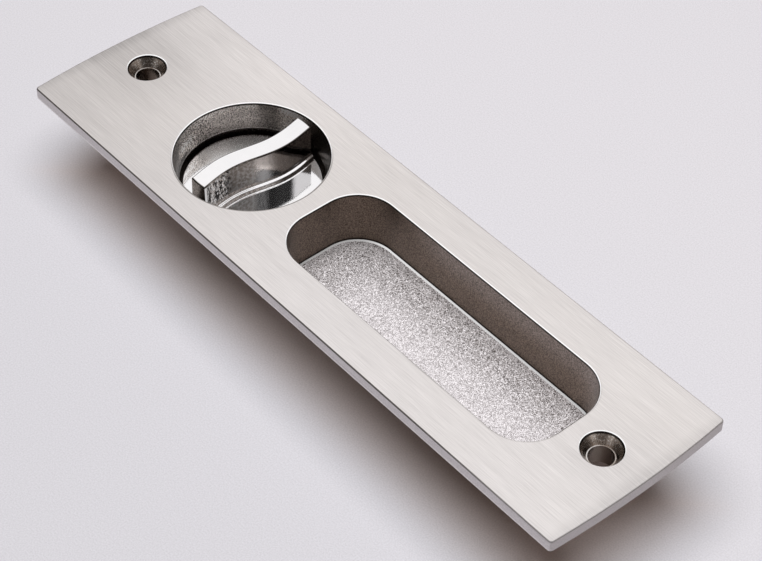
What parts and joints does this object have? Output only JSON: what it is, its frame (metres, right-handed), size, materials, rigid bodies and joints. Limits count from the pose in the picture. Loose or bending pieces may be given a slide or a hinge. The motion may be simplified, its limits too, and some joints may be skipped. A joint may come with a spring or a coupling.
{
  "type": "sliding door lock",
  "caption": "Flush sliding-door lock: long trim plate with recessed pull, round cup with S-shaped turn knob, and a slim case behind it whose hook swings out.",
  "frame": {"origin": "centre of the trim plate on the plane where its back lies on the door, midway between its two screw holes", "axes": "+X along the plate from the turn knob to the pull, +Y across it to the door's edge, +Z out of the door"},
  "size_m": [0.1616, 0.0475, 0.0254],
  "materials": {
    "satin_nickel": "brushed satin nickel",
    "polished_nickel": "polished",
    "zinc_steel": "zinc plated",
    "edge_steel": "satin",
    "hook_steel": "machined",
    "spring_steel": "dark tempered",
    "pin_brass": "turned",
    "bush_plastic": "moulded"
  },
  "bodies": {
    "lock_body": {"face_plate": "satin_nickel", "turn_bush": "bush_plastic", "lock_case": "zinc_steel", "case_cover": "zinc_steel", "case_pillars": "zinc_steel", "cover_screws": "zinc_steel", "fixing_screws": "zinc_steel", "forend": "edge_steel", "forend_screws": "edge_steel", "hook_pivot": "pin_brass", "hook_spacers": "bush_plastic", "detent_spring": "spring_steel", "detent_stops": "zinc_steel", "spring_washer": "spring_steel"},
    "turn": {"thumb_turn": "polished_nickel", "turn_washer": "zinc_steel", "turn_clip": "spring_steel", "spindle": "zinc_steel", "hub": "zinc_steel", "hub_crank_pin": "pin_brass"},
    "link": {"drive_link": "zinc_steel"},
    "hook": {"hook_bolt": "hook_steel", "hook_crank_pin": "pin_brass"}
  },
  "joints": [
    {"name": "turn_hinge", "type": "hinge", "parent": "lock_body", "child": "turn", "pos_m": [-0.0335, 0, -0.0049], "axis": [0, 0, 1], "range_deg": [0, 90]},
    {"name": "link_hinge", "type": "hinge", "parent": "turn", "child": "link", "pos_m": [-0.02759, 0.00928, -0.01425], "axis": [0, 0, 1], "range_deg": [-90, 0]},
    {"name": "hook_hinge", "type": "hinge", "parent": "lock_body", "child": "hook", "pos_m": [-0.002, 0.007, -0.017], "axis": [0, 0, 1], "range_deg": [0, 90]}
  ],
  "couplings": [
    {"joint": "link_hinge", "follows": "turn_hinge", "ratio": -1},
    {"joint": "hook_hinge", "follows": "turn_hinge", "ratio": 1}
  ]
}
